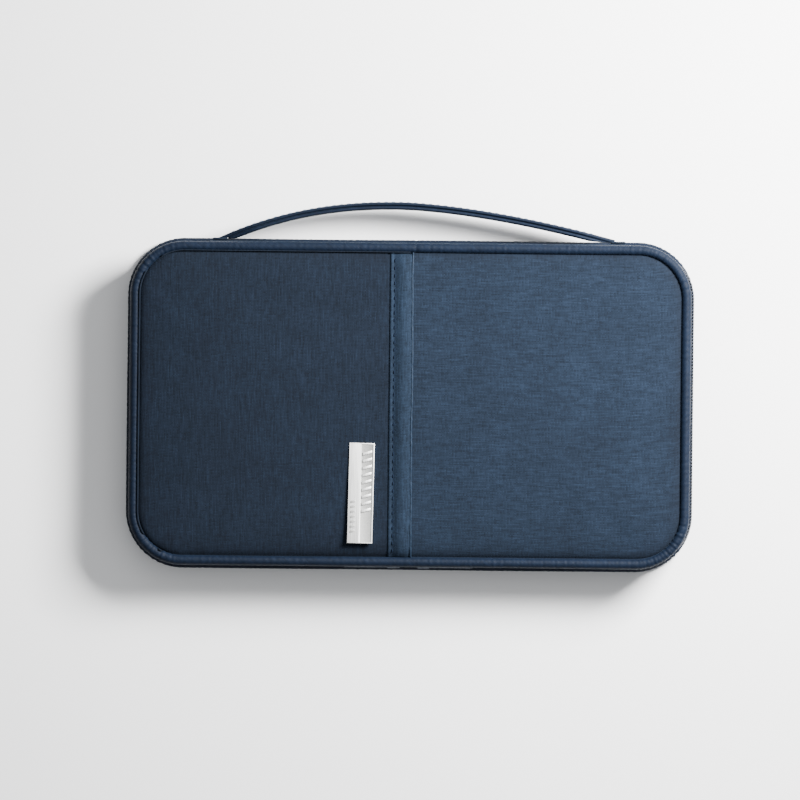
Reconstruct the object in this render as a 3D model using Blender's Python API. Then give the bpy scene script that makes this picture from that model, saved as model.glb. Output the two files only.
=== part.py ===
"""Zip-round travel passport holder, lying closed on its back.

X runs along the length, +Y towards the spine and its handle, +Z out of the front cover.
The origin is the centre of the flat face that the case rests on. Lengths are in metres.
"""

import math

import bmesh
import bpy
from mathutils import Vector

# ---------------------------------------------------------------- driving dimensions
LENGTH = 0.230  # along X, over the piping
WIDTH = 0.134  # along Y, over the piping
CORNER_RADIUS = 0.0232
CORNER_STEPS = 8
GAP = 0.0003  # between pieces that touch

# The two leaves: outer panel, stiffening board and lining inside a loop of piping.
PANEL = 0.0010
LINING = 0.0006
PIPING_RADIUS = 0.0020
PIPING_LIFT = 0.0002  # the back piping stays this far off the table
PIPING_SIDES = 10
FRONT_STEP = 0.0012  # the front leaf is this much smaller all round
WALL = 0.0156  # height of the zip wall between the leaves

# Zip chain on three sides, set back from the outline so that its sliders stay inside it.
TAPE = 0.0008
TEETH_INSET = 0.0033
TEETH_DEPTH = 0.0014
TEETH_HEIGHT = 0.0020
TEETH_GAP = 0.0012  # between the two rows of teeth
ZIP_RETURN_LEFT = 0.0098  # how far the zip runs past a corner, towards the spine
ZIP_RETURN_RIGHT = 0.0048

# Spine wall. Its outer layers are as thick as a leaf's; its own board is thinner.
SPINE_BOARD = 0.0010

# Sliders, which meet at the middle of the long open side.
SLIDER_LENGTH = 0.0100
SLIDER_WIDTH = 0.0088
SLIDER_PLATE = 0.0010
SLIDER_APART = 0.0020  # between the two sliders when the case is shut
POST_LENGTH = 0.0030
BRIDGE_LENGTH = 0.0049
BRIDGE_WIDTH = 0.0018
BRIDGE_BAR = 0.0007
BRIDGE_LEG = 0.0009
PIN = 0.0006  # side of the pull's cross pin, and thickness of the pull
PIN_ROOM = 0.0003  # free space on each side of the pin
PULL_LENGTH = 0.0200
PULL_WIDTH = 0.0050
PULL_EYE = 0.0032  # from the pin to the far end of the pull's eye

# Carrying strap: two layers of webbing in a low arch over the spine.
STRAP_WIDTH = 0.0120
STRAP_ROOT_WIDTH = 0.0030
STRAP_TAPER = 0.0120  # length of each tapered end
STRAP_LAYER = 0.0014
STRAP_RISE = 0.0138
STRAP_BASE = 0.0010  # height of the arch's feet over the spine
STRAP_PEAK_X = -0.0057
STRAP_POWER_LEFT = 2.0
STRAP_POWER_RIGHT = 1.6
STRAP_STEPS = 24
STRAP_START = 0.0033  # from a foot of the arch to the free end of the strap
ANCHOR = 0.0009
ANCHOR_BACK = 0.0030
ANCHOR_FRONT = 0.0030
ROOT_FROM_SPINE_LEFT = 0.0044
ROOT_FROM_SPINE_RIGHT = 0.0033

# Slip pocket on the front, its folded mouth band and the plain metal badge.
POCKET = 0.0008
SLIP_MOUTH_X = 0.0008
BAND_WIDTH = 0.0093
BADGE_LENGTH = 0.0406
BADGE_WIDTH = 0.0102
BADGE_THICK = 0.0010
BADGE_CORNER = 0.0010
BADGE_TILT = math.radians(-0.9)
BADGE_FROM_MOUTH = 0.0203
BADGE_FROM_EDGE = 0.0312

# Inner pockets. Their mouths face +X, which is up when the case is held upright.
POCKET_MARGIN = 0.0100  # from the outline to a pocket's sewn edges
GUTTER = 0.0180  # kept free beside the spine for a pen
DOCUMENT_MOUTH = 0.0530  # from the case's +X end to the mouth
PASSPORT_MOUTH = 0.1230
PASSPORT_SIDE = 0.0060  # the passport pocket is this much narrower on each side
TICKET_MOUTH = 0.0200
CARD_SLOTS = 4
CARD_STEP = 0.0120
CARD_DEPTH = 0.0500
CARD_SIDE = 0.0070  # the card slots are this much narrower on each side than the pockets
CARD_THICK = 0.0006
CARD_MOUTH = 0.0300  # from the case's +X end to the highest card slot's mouth

# Pen loop on the spine's lining.
PEN_RADIUS = 0.0052
PEN_LOOP_WALL = 0.0010
PEN_LOOP_LENGTH = 0.0240
PEN_LOOP_X = 0.0320
PEN_LOOP_SIDES = 24

# ---------------------------------------------------------------- derived places
LEAF = PIPING_LIFT + 2 * PIPING_RADIUS
BOARD = LEAF - PANEL - LINING - 2 * GAP
MIDDLE = LEAF + WALL / 2
FRONT_TOP = 2 * MIDDLE  # outer face of the front panel
TAPE_INSET = TEETH_INSET + TEETH_DEPTH + GAP
SPINE_LEFT = -LENGTH / 2 + CORNER_RADIUS + ZIP_RETURN_LEFT
SPINE_RIGHT = LENGTH / 2 - CORNER_RADIUS - ZIP_RETURN_RIGHT
SPINE_LOW = LEAF + GAP
SPINE_HIGH = FRONT_TOP - LEAF - GAP
SPINE_INNER = 2 * PIPING_RADIUS + GAP  # in line with the edges of the back leaf's layers
SPINE_LINING_INSET = SPINE_INNER - LINING
SPINE_BOARD_INSET = SPINE_LINING_INSET - GAP - SPINE_BOARD
SPINE_INSET = SPINE_BOARD_INSET - GAP - PANEL
SPINE_FACE = WIDTH / 2 - SPINE_INSET
TOP_EDGE = WIDTH / 2
ROOT_LEFT = SPINE_LEFT + ROOT_FROM_SPINE_LEFT
ROOT_RIGHT = SPINE_RIGHT - ROOT_FROM_SPINE_RIGHT
FRONT_INSET = FRONT_STEP + 2 * PIPING_RADIUS + GAP
POCKET_LOW = LEAF + GAP

NAVY = (0.030, 0.046, 0.078)
NAVY_DARK = (0.018, 0.026, 0.045)
GREY_LINING = (0.100, 0.110, 0.125)
FOAM = (0.550, 0.550, 0.540)
TEETH_BLACK = (0.015, 0.018, 0.024)
NICKEL = (0.620, 0.630, 0.640)


def clear_scene():
    for obj in list(bpy.data.objects):
        bpy.data.objects.remove(obj, do_unlink=True)


def material(name, color, roughness, metallic=0.0):
    made = bpy.data.materials.new(name)
    made.use_nodes = True
    shader = made.node_tree.nodes["Principled BSDF"]
    shader.inputs["Base Color"].default_value = (*color, 1.0)
    shader.inputs["Roughness"].default_value = roughness
    shader.inputs["Metallic"].default_value = metallic
    return made


def add_pivot(name, location, parent=None):
    """An empty on a joint's axis, for the pieces that turn about it."""
    pivot = bpy.data.objects.new(name, None)
    bpy.context.scene.collection.objects.link(pivot)
    offset = parent.matrix_world.translation if parent else Vector()
    pivot.location = Vector(location) - offset
    pivot.parent = parent
    bpy.context.view_layer.update()
    return pivot


def add_object(name, mesh, color, roughness, metallic=0.0, pivot=None):
    """Put a finished mesh in the scene as one named sub-part."""
    obj = bpy.data.objects.new(name, mesh)
    bpy.context.scene.collection.objects.link(obj)
    mesh.materials.append(material(name, color, roughness, metallic))
    if pivot:
        obj.parent = pivot
        obj.location = -pivot.matrix_world.translation
    return obj


def mesh_of(name, points, faces):
    """A mesh from points and faces, with its normals turned out."""
    mesh = bpy.data.meshes.new(name)
    mesh.from_pydata(points, [], faces)
    shape = bmesh.new()
    shape.from_mesh(mesh)
    bmesh.ops.recalc_face_normals(shape, faces=shape.faces)
    shape.to_mesh(mesh)
    shape.free()
    return mesh


def ring_mesh(name, sections, closed):
    """Skin equal rings of points. The ends are capped unless the rings form a loop."""
    count = len(sections[0])
    points = [point for section in sections for point in section]
    faces = []
    last = len(sections) if closed else len(sections) - 1
    for ring in range(last):
        here = ring * count
        there = (ring + 1) % len(sections) * count
        for side in range(count):
            after = (side + 1) % count
            faces.append((here + side, here + after, there + after, there + side))
    if not closed:
        faces.append(tuple(range(count)))
        faces.append(tuple(range(len(points) - count, len(points))))
    return mesh_of(name, points, faces)


def prism(name, outline, low, high):
    """A flat outline in X and Y, given a thickness along Z."""
    rings = [[(x, y, z) for x, y in outline] for z in (low, high)]
    return ring_mesh(name, rings, closed=False)


def box(name, low, high):
    corners = [(low[0], low[1]), (high[0], low[1]), (high[0], high[1]), (low[0], high[1])]
    return prism(name, corners, low[2], high[2])


def unchanged(low, high):
    """Heights of a back layer, which are measured from the table."""
    return low, high


def mirrored(low, high):
    """Heights of a front layer, from those of its twin in the back leaf."""
    return FRONT_TOP - high, FRONT_TOP - low


# ---------------------------------------------------------------- outline of the case
def arc(center_x, center_y, radius, start):
    """A quarter turn, counterclockwise from the start angle in degrees."""
    points = []
    for step in range(CORNER_STEPS + 1):
        angle = math.radians(start + 90 * step / CORNER_STEPS)
        points.append((center_x + radius * math.cos(angle), center_y + radius * math.sin(angle)))
    return points


def case_outline(inset):
    """The rounded outline, counterclockwise from the top left corner to the top right one."""
    across = LENGTH / 2 - CORNER_RADIUS
    along = WIDTH / 2 - CORNER_RADIUS
    radius = CORNER_RADIUS - inset
    points = arc(-across, along, radius, 90)
    points += arc(-across, -along, radius, 180)
    points += arc(across, -along, radius, 270)
    points += arc(across, along, radius, 0)
    return points


def zip_path(inset):
    """The part of the outline that the zip follows, from one end of the spine to the other."""
    top = TOP_EDGE - inset
    return [(SPINE_LEFT - GAP, top), *case_outline(inset), (SPINE_RIGHT + GAP, top)]


def leaf_plate(name, inset, low, high):
    return prism(name, case_outline(inset), low, high)


def zip_wall(name, inset, thick, low, high):
    """A strip that stands on edge along the zip path."""
    outer, inner = zip_path(inset), zip_path(inset + thick)
    sections = []
    for (outer_x, outer_y), (inner_x, inner_y) in zip(outer, inner):
        sections.append(
            [
                (outer_x, outer_y, low),
                (inner_x, inner_y, low),
                (inner_x, inner_y, high),
                (outer_x, outer_y, high),
            ]
        )
    return ring_mesh(name, sections, closed=False)


def piping_loop(name, inset, height):
    """A round cord that runs all round a leaf, its outer side at the inset."""
    sections = []
    outer, inner = case_outline(inset), case_outline(inset + 2 * PIPING_RADIUS)
    for (outer_x, outer_y), (inner_x, inner_y) in zip(outer, inner):
        section = []
        for side in range(PIPING_SIDES):
            angle = math.tau * side / PIPING_SIDES
            inward = (1 - math.cos(angle)) / 2
            section.append(
                (
                    outer_x + (inner_x - outer_x) * inward,
                    outer_y + (inner_y - outer_y) * inward,
                    height + PIPING_RADIUS * math.sin(angle),
                )
            )
        sections.append(section)
    return ring_mesh(name, sections, closed=True)


# ---------------------------------------------------------------- pieces
def add_leaf(side, step, place, pivot=None):
    """One leaf: its panel, board, lining, piping, zip tape and zip teeth."""
    inset = step + 2 * PIPING_RADIUS + GAP
    board = PANEL + GAP
    lining = board + BOARD + GAP
    piping = PIPING_LIFT + PIPING_RADIUS
    edge = MIDDLE - TEETH_GAP / 2
    plates = (
        ("panel", 0, PANEL, NAVY),
        ("board", board, BOARD, FOAM),
        ("lining", lining, LINING, GREY_LINING),
    )
    for layer, low, thick, color in plates:
        name = f"{side}_{layer}"
        mesh = leaf_plate(name, inset, *place(low, low + thick))
        add_object(name, mesh, color, 0.9, pivot=pivot)
    name = f"{side}_piping"
    mesh = piping_loop(name, step, place(piping, piping)[0])
    add_object(name, mesh, NAVY, 0.8, pivot=pivot)
    name = f"{side}_zip_tape"
    mesh = zip_wall(name, TAPE_INSET, TAPE, *place(LEAF + GAP, edge))
    add_object(name, mesh, NAVY_DARK, 0.9, pivot=pivot)
    name = f"{side}_zip_teeth"
    mesh = zip_wall(name, TEETH_INSET, TEETH_DEPTH, *place(edge - TEETH_HEIGHT, edge))
    add_object(name, mesh, TEETH_BLACK, 0.5, pivot=pivot)


def add_spine(pivot):
    """The wall between the leaves, and the pen loop inside it."""
    layers = (
        ("spine_panel", SPINE_INSET, PANEL, NAVY),
        ("spine_board", SPINE_BOARD_INSET, SPINE_BOARD, FOAM),
        ("spine_lining", SPINE_LINING_INSET, LINING, GREY_LINING),
    )
    for name, inset, thick, color in layers:
        low = (SPINE_LEFT, TOP_EDGE - inset - thick, SPINE_LOW)
        high = (SPINE_RIGHT, TOP_EDGE - inset, SPINE_HIGH)
        add_object(name, box(name, low, high), color, 0.9, pivot=pivot)
    loop_radius = PEN_RADIUS + PEN_LOOP_WALL
    loop_y = TOP_EDGE - SPINE_INNER - GAP - loop_radius
    sections = []
    for side in range(PEN_LOOP_SIDES):
        angle = math.tau * side / PEN_LOOP_SIDES
        section = []
        for x, radius in (
            (PEN_LOOP_X, loop_radius),
            (PEN_LOOP_X + PEN_LOOP_LENGTH, loop_radius),
            (PEN_LOOP_X + PEN_LOOP_LENGTH, PEN_RADIUS),
            (PEN_LOOP_X, PEN_RADIUS),
        ):
            across = loop_y + radius * math.cos(angle)
            section.append((x, across, MIDDLE + radius * math.sin(angle)))
        sections.append(section)
    mesh = ring_mesh("pen_loop", sections, closed=True)
    add_object("pen_loop", mesh, NAVY_DARK, 0.9, pivot=pivot)


def strap_height(x):
    """Height of the strap's middle line over the spine."""
    if x < STRAP_PEAK_X:
        share, power = (STRAP_PEAK_X - x) / (STRAP_PEAK_X - ROOT_LEFT), STRAP_POWER_LEFT
    else:
        share, power = (x - STRAP_PEAK_X) / (ROOT_RIGHT - STRAP_PEAK_X), STRAP_POWER_RIGHT
    return STRAP_BASE + STRAP_RISE * (1 - share**power)


def strap_layer(name, low, high):
    """One layer of the strap, between two offsets from its middle line."""
    start, end = ROOT_LEFT + STRAP_START, ROOT_RIGHT - STRAP_START
    step = (end - start) / STRAP_STEPS
    sections = []
    for index in range(STRAP_STEPS + 1):
        x = start + step * index
        slope = (strap_height(x + step / 10) - strap_height(x - step / 10)) / (step / 5)
        length = math.hypot(1, slope)
        from_end = min(x - start, end - x)
        spread = min(1, from_end / STRAP_TAPER)
        half = (STRAP_ROOT_WIDTH + (STRAP_WIDTH - STRAP_ROOT_WIDTH) * spread) / 2
        section = []
        for offset, z in ((low, -half), (high, -half), (high, half), (low, half)):
            across = SPINE_FACE + strap_height(x) + offset / length
            section.append((x - offset * slope / length, across, MIDDLE + z))
        sections.append(section)
    return ring_mesh(name, sections, closed=False)


def add_handle(strap_pivot, tab_pivot):
    """The strap's two layers, and the two sewn-down tabs that hold it."""
    layers = (
        ("handle_inner_strip", -GAP / 2 - STRAP_LAYER, -GAP / 2),
        ("handle_outer_strip", GAP / 2, GAP / 2 + STRAP_LAYER),
    )
    for name, low, high in layers:
        add_object(name, strap_layer(name, low, high), NAVY, 0.9, pivot=strap_pivot)
    tabs = (
        ("handle_anchor_left", ROOT_LEFT - ANCHOR_BACK, ROOT_LEFT + ANCHOR_FRONT),
        ("handle_anchor_right", ROOT_RIGHT - ANCHOR_FRONT, ROOT_RIGHT + ANCHOR_BACK),
    )
    base = SPINE_FACE + GAP
    for name, left, right in tabs:
        low = (left, base, MIDDLE - STRAP_WIDTH / 2)
        high = (right, base + ANCHOR, MIDDLE + STRAP_WIDTH / 2)
        add_object(name, box(name, low, high), NAVY_DARK, 0.9, pivot=tab_pivot)


def add_slip_pocket(pivot):
    """The pocket on the front's left half, its mouth band and the badge."""
    low = FRONT_TOP + GAP
    high = low + POCKET
    band_left = SLIP_MOUTH_X - BAND_WIDTH
    pocket_edge = SLIP_MOUTH_X - GAP
    outline = [point for point in case_outline(FRONT_INSET) if point[0] < 0]
    top = WIDTH / 2 - FRONT_INSET
    outline += [(pocket_edge, -top), (pocket_edge, top)]
    name = "slip_pocket_panel"
    add_object(name, prism(name, outline, low, high), NAVY, 0.9, pivot=pivot)
    name = "slip_pocket_band"
    corners = ((band_left, -top, high + GAP), (SLIP_MOUTH_X, top, high + GAP + POCKET))
    add_object(name, box(name, *corners), NAVY, 0.9, pivot=pivot)
    center_x = SLIP_MOUTH_X - BADGE_FROM_MOUTH
    center_y = -WIDTH / 2 + BADGE_FROM_EDGE
    across, along = BADGE_WIDTH / 2 - BADGE_CORNER, BADGE_LENGTH / 2 - BADGE_CORNER
    badge = []
    for quarter, (x, y) in enumerate(((1, 1), (-1, 1), (-1, -1), (1, -1))):
        badge += arc(x * across, y * along, BADGE_CORNER, 90 * quarter)
    turn, lean = math.cos(BADGE_TILT), math.sin(BADGE_TILT)
    placed = [(center_x + x * turn - y * lean, center_y + x * lean + y * turn) for x, y in badge]
    mesh = prism("badge", placed, high + GAP, high + GAP + BADGE_THICK)
    add_object("badge", mesh, NICKEL, 0.3, 1.0, pivot)


def add_inner_pockets(cover_pivot):
    """Document and passport pockets at the back; ticket pocket and card slots in front."""
    low_y, high_y = -WIDTH / 2 + POCKET_MARGIN, WIDTH / 2 - GUTTER
    first = (POCKET_LOW, POCKET_LOW + POCKET)
    second = (POCKET_LOW + POCKET + GAP, POCKET_LOW + 2 * POCKET + GAP)
    pockets = (
        ("document_pocket", DOCUMENT_MOUTH, 0, first, None),
        ("passport_pocket", PASSPORT_MOUTH, PASSPORT_SIDE, second, None),
        ("ticket_pocket", TICKET_MOUTH, 0, mirrored(*first), cover_pivot),
    )
    for name, from_end, narrower, heights, pivot in pockets:
        mouth, top = LENGTH / 2 - from_end, high_y - narrower
        inset = POCKET_MARGIN + narrower
        across, along = LENGTH / 2 - CORNER_RADIUS, WIDTH / 2 - CORNER_RADIUS
        outline = arc(-across, -along, CORNER_RADIUS - inset, 180)
        outline += [(mouth, -WIDTH / 2 + inset), (mouth, top), (-LENGTH / 2 + inset, top)]
        mesh = prism(name, outline, *heights)
        add_object(name, mesh, GREY_LINING, 0.8, pivot=pivot)
    for slot in range(CARD_SLOTS):
        mouth = LENGTH / 2 - CARD_MOUTH - slot * CARD_STEP
        base = second[0] + slot * (CARD_THICK + GAP)
        low, high = mirrored(base, base + CARD_THICK)
        name = f"card_slot_{slot + 1}"
        corner = (mouth - CARD_DEPTH, low_y + CARD_SIDE, low)
        mesh = box(name, corner, (mouth, high_y - CARD_SIDE, high))
        add_object(name, mesh, GREY_LINING, 0.8, pivot=cover_pivot)


# ---------------------------------------------------------------- sliders and pulls
def combined(name, operation, base, others, center, color):
    """Join boxes to a base box, or cut them out of it, about a piece's own centre."""
    obj = add_object(name, box(name, *base), color, 0.3, 1.0)
    helpers = []
    for index, (low, high) in enumerate(others):
        helper = bpy.data.objects.new(f"{name}_tool_{index}", box(name, low, high))
        bpy.context.scene.collection.objects.link(helper)
        modifier = obj.modifiers.new(f"tool_{index}", "BOOLEAN")
        modifier.operation = operation
        modifier.object = helper
        helpers.append(helper)
    graph = bpy.context.evaluated_depsgraph_get()
    mesh = bpy.data.meshes.new_from_object(obj.evaluated_get(graph))
    obj.modifiers.clear()
    obj.data = mesh
    for helper in helpers:
        bpy.data.objects.remove(helper, do_unlink=True)
    obj.location = center
    return obj


def add_slider(side, direction):
    """A slider over the chain, and its pull, which lies along the shut part of the zip."""
    center = (direction * (SLIDER_LENGTH + SLIDER_APART) / 2, -WIDTH / 2, MIDDLE)
    half, tall = SLIDER_LENGTH / 2, SLIDER_WIDTH / 2
    outer = TEETH_INSET - GAP - SLIDER_PLATE
    inner = TAPE_INSET + TAPE + GAP
    pin_room = PIN + 2 * PIN_ROOM
    pin_inset = outer - pin_room / 2
    bar = outer - pin_room - BRIDGE_BAR
    nose = -direction * half
    post_ends = sorted((nose, nose + direction * POST_LENGTH))
    post = TEETH_GAP / 2 - GAP
    leg = BRIDGE_LENGTH / 2
    wide = BRIDGE_WIDTH / 2
    sunk = SLIDER_PLATE / 2  # how deep a joined box reaches into its neighbour
    plates = ((-half, inner, -tall), (half, inner + SLIDER_PLATE, tall))
    joined = [
        ((post_ends[0], outer + sunk, -post), (post_ends[1], inner + sunk, post)),
        ((-half, outer, -tall), (half, outer + SLIDER_PLATE, tall)),
        ((-leg, bar + BRIDGE_BAR / 4, -wide), (-leg + BRIDGE_LEG, outer + sunk, wide)),
        ((leg - BRIDGE_LEG, bar + BRIDGE_BAR / 4, -wide), (leg, outer + sunk, wide)),
        ((-leg, bar, -wide), (leg, bar + BRIDGE_BAR, wide)),
    ]
    combined(f"slider_{side}", "UNION", plates, joined, center, NICKEL)
    eye = PULL_WIDTH / 2 - BRIDGE_WIDTH / 2 - GAP
    ends = sorted((-direction * PIN / 2, direction * PULL_LENGTH))
    eye_ends = sorted((direction * PIN / 2, direction * PULL_EYE))
    tab = ((ends[0], -PIN / 2, -PULL_WIDTH / 2), (ends[1], PIN / 2, PULL_WIDTH / 2))
    hole = PULL_WIDTH / 2 - eye
    cuts = [((eye_ends[0], -PIN, -hole), (eye_ends[1], PIN, hole))]
    hinge = (center[0], center[1] + pin_inset, MIDDLE)
    combined(f"pull_{side}", "DIFFERENCE", tab, cuts, hinge, NICKEL)


def build():
    clear_scene()
    spine_pivot = add_pivot("spine_hinge", (0, TOP_EDGE, LEAF))
    cover_pivot = add_pivot("cover_hinge", (0, TOP_EDGE, FRONT_TOP - LEAF), spine_pivot)
    strap_pivot = add_pivot("handle_hinge", (0, TOP_EDGE, MIDDLE), spine_pivot)
    add_leaf("back", 0, unchanged)
    add_leaf("front", FRONT_STEP, mirrored, cover_pivot)
    add_spine(spine_pivot)
    add_handle(strap_pivot, spine_pivot)
    add_slip_pocket(cover_pivot)
    add_inner_pockets(cover_pivot)
    add_slider("right", 1)
    add_slider("left", -1)


build()
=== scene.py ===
"""Looks of the zip-round passport holder: navy heathered polyester, piping, coil zip and metal badge.

The case lies on its back: +X along its length, +Y towards the spine, +Z out of the front.
Lengths are in metres.
"""

import math

import bpy
import numpy as np
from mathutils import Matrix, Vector
from mathutils.bvhtree import BVHTree


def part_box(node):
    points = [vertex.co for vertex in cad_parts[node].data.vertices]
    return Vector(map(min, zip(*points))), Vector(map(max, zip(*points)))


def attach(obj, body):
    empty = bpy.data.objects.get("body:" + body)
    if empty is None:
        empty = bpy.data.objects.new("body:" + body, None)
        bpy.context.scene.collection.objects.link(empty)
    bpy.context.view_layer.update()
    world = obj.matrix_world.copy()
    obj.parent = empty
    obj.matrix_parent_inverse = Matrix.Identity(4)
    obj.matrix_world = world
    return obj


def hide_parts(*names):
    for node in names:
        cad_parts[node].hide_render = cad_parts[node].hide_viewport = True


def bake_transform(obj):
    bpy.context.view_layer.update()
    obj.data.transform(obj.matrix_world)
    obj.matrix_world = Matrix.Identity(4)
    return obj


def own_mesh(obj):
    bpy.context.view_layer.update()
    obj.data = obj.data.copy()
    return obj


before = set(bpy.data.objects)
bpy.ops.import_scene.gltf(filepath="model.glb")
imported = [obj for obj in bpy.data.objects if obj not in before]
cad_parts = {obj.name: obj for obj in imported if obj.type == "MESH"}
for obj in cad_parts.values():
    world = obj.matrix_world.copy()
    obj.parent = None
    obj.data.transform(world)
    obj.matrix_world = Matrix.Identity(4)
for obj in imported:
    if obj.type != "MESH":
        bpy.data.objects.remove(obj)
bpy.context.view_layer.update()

MM = 0.001

# ---------------------------------------------------------------- sizes read from the frame
back_low, back_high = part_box("back_piping")
front_low, front_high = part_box("front_piping")
HALF_X = back_high[0]
HALF_Y = back_high[1]
CORNER = 23.2 * MM
BACK_PIPING_Z = (back_low[2] + back_high[2]) / 2
FRONT_PIPING_Z = (front_low[2] + front_high[2]) / 2
MIDDLE_Z = (BACK_PIPING_Z + FRONT_PIPING_Z) / 2
PIPING = 2.0 * MM
FRONT_STEP = 1.4 * MM  # how far the front leaf's outline lies inside the back leaf's
FRONT_SHIFT = (0.0, 0.0)
SPINE_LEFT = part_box("spine_panel")[0][0]
SPINE_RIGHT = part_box("spine_panel")[1][0]
STITCH = 3.0 * MM  # from one stitch to the next
ZIP_ENDS = (SPINE_LEFT - 0.3 * MM, SPINE_RIGHT + 0.3 * MM)
COIL_INSET = 4.0 * MM
STRAP_SWAY = math.radians(15)

FIELD_NAVY = "202C3D"
# A darker copy of the front's navy: painted shade for the duller upright threads and the light's falloff.
POCKET_SHADED_NAVY = "192332"
# A lighter copy of the pocket's navy: painted light on the raised hem.
BAND_LIT_NAVY = "223042"
# Paler still: a painted highlight along the hem's fold.
FOLD_HIGHLIGHT_NAVY = "26364A"
# A darker copy of the front's navy: painted shade for the piping's rounded sides.
BINDING_SHADED_NAVY = "172336"
STRAP_NAVY = "182335"


# ---------------------------------------------------------------- small tools
def linear(code):
    """An sRGB hex colour as the linear numbers that shaders take."""
    shares = [int(code[i : i + 2], 16) / 255 for i in (0, 2, 4)]
    return tuple(c / 12.92 if c <= 0.04045 else ((c + 0.055) / 1.055) ** 2.4 for c in shares) + (1,)


def deselect():
    if bpy.context.object and bpy.context.object.mode != "OBJECT":
        bpy.ops.object.mode_set(mode="OBJECT")
    bpy.ops.object.select_all(action="DESELECT")


def activate(obj):
    deselect()
    obj.select_set(True)
    bpy.context.view_layer.objects.active = obj


def apply_modifiers(obj):
    activate(obj)
    for modifier in list(obj.modifiers):
        bpy.ops.object.modifier_apply(modifier=modifier.name)


def settle(obj):
    """Put the object's place into its mesh."""
    activate(obj)
    bpy.ops.object.transform_apply(location=True, rotation=True, scale=True)


def smooth(obj, angle=40):
    activate(obj)
    bpy.ops.object.shade_smooth_by_angle(angle=math.radians(angle))


def finish_piece(obj, material, body, nodes=(), angle=40):
    """Give a piece its material, its body and the CAD nodes that it stands for."""
    smooth(obj, angle)
    obj.data.materials.clear()
    obj.data.materials.append(material)
    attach(obj, body)
    if nodes:
        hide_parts(*nodes)
    return obj


def face_outwards(obj):
    """Turn every face of a closed mesh to look out."""
    activate(obj)
    bpy.ops.object.mode_set(mode="EDIT")
    bpy.ops.mesh.select_all(action="SELECT")
    bpy.ops.mesh.normals_make_consistent(inside=False)
    bpy.ops.object.mode_set(mode="OBJECT")
    return obj


def mesh_object(name, points, faces, flow=None):
    """An object from points and faces. flow gives each face corner's place along the cloth."""
    mesh = bpy.data.meshes.new(name)
    mesh.from_pydata([tuple(p) for p in points], [], [tuple(f) for f in faces])
    if flow is not None:
        layer = mesh.uv_layers.new(name="flow")
        layer.data.foreach_set("uv", np.asarray(flow, np.float32).ravel())
    obj = bpy.data.objects.new(name, mesh)
    bpy.context.scene.collection.objects.link(obj)
    return obj


# ---------------------------------------------------------------- rails round the case
def rail(inset, spacing, shift=(0, 0), ends=None):
    """Points, outward normals and distances along the rounded outline, counterclockwise.

    A closed rail starts at the left end of the spine side. ends gives the two X places where
    an open one starts and stops on that side.
    """
    across, along = HALF_X - CORNER, HALF_Y - CORNER
    radius = CORNER - inset
    start_x, stop_x = ends if ends else (-across, -across)
    top = HALF_Y - inset
    turn = radius * math.pi / 2
    legs = [("line", (start_x, top), 180, start_x + across)]
    for center, angle, length in (
        ((-across, along), 90, 2 * along),
        ((-across, -along), 180, 2 * across),
        ((across, -along), 270, 2 * along),
        ((across, along), 0, across - stop_x),
    ):
        legs.append(("arc", center, angle, turn))
        out = math.radians(angle + 90)
        foot = (center[0] + radius * math.cos(out), center[1] + radius * math.sin(out))
        legs.append(("line", foot, angle + 180, length))
    total = sum(leg[3] for leg in legs)
    count = max(8, round(total / spacing))
    distances = np.arange(count) * total / count if not ends else np.linspace(0, total, count + 1)
    points, normals = [], []
    for distance in distances:
        left = distance
        for kind, place, angle, length in legs:
            if left <= length + 1e-9:
                break
            left -= length
        if kind == "arc":
            turned = math.radians(angle + 90 * left / turn)
            normal = (math.cos(turned), math.sin(turned))
            point = (place[0] + radius * normal[0], place[1] + radius * normal[1])
        else:
            way = math.radians(angle)
            normal = (math.sin(way), -math.cos(way))
            point = (place[0] + left * math.cos(way), place[1] + left * math.sin(way))
        points.append((point[0] + shift[0], point[1] + shift[1]))
        normals.append(normal)
    return np.array(points), np.array(normals), distances, total


def sweep(name, points, normals, distances, profile, total=None):
    """Skin a closed profile of (out, up) pairs along a rail. total closes the rail into a loop."""
    profile = np.asarray(profile, float)
    if profile.ndim == 2:
        profile = np.repeat(profile[None], len(points), axis=0)
    rings, sides = profile.shape[:2]
    places = np.empty((rings, sides, 3))
    places[..., :2] = points[:, None] + normals[:, None] * profile[..., :1]
    places[..., 2] = profile[..., 1]
    girth = np.r_[0, np.cumsum(np.linalg.norm(np.diff(profile[0], axis=0), axis=1))]
    closing = np.linalg.norm(profile[0][0] - profile[0][-1])
    faces, flow = [], []
    ring_count = rings if total else rings - 1
    for ring in range(ring_count):
        after = (ring + 1) % rings
        here_s = distances[ring]
        there_s = distances[after] if after else total
        for side in range(sides):
            beside = (side + 1) % sides
            t0 = girth[side]
            t1 = girth[beside] if beside else girth[-1] + closing
            here, there = ring * sides, after * sides
            faces.append((here + side, there + side, there + beside, here + beside))
            flow += [(here_s, t0), (there_s, t0), (there_s, t1), (here_s, t1)]
    if not total:
        faces.append(tuple(range(sides)))
        faces.append(tuple((rings - 1) * sides + side for side in reversed(range(sides))))
        flow += [(distances[0], g) for g in girth] + [(distances[-1], g) for g in girth[::-1]]
    return face_outwards(mesh_object(name, places.reshape(-1, 3), faces, flow))


# ---------------------------------------------------------------- sheets
def spread(low, high, step, rim_low, rim_high):
    """Even places from low to high, packed closer at an edge that is rolled down."""
    rows = (0, 0.25 * MM, 0.55 * MM, 0.95 * MM, 1.5 * MM, 2.3 * MM, 3.5 * MM)
    first = [low + row for row in rows] if rim_low else [low]
    last = [high - row for row in rows] if rim_high else [high]
    count = max(2, round((last[-1] - first[-1]) / step))
    middle = np.linspace(first[-1], last[-1], count + 1)[1:-1]
    return np.array(first + list(middle) + last[::-1])


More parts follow.
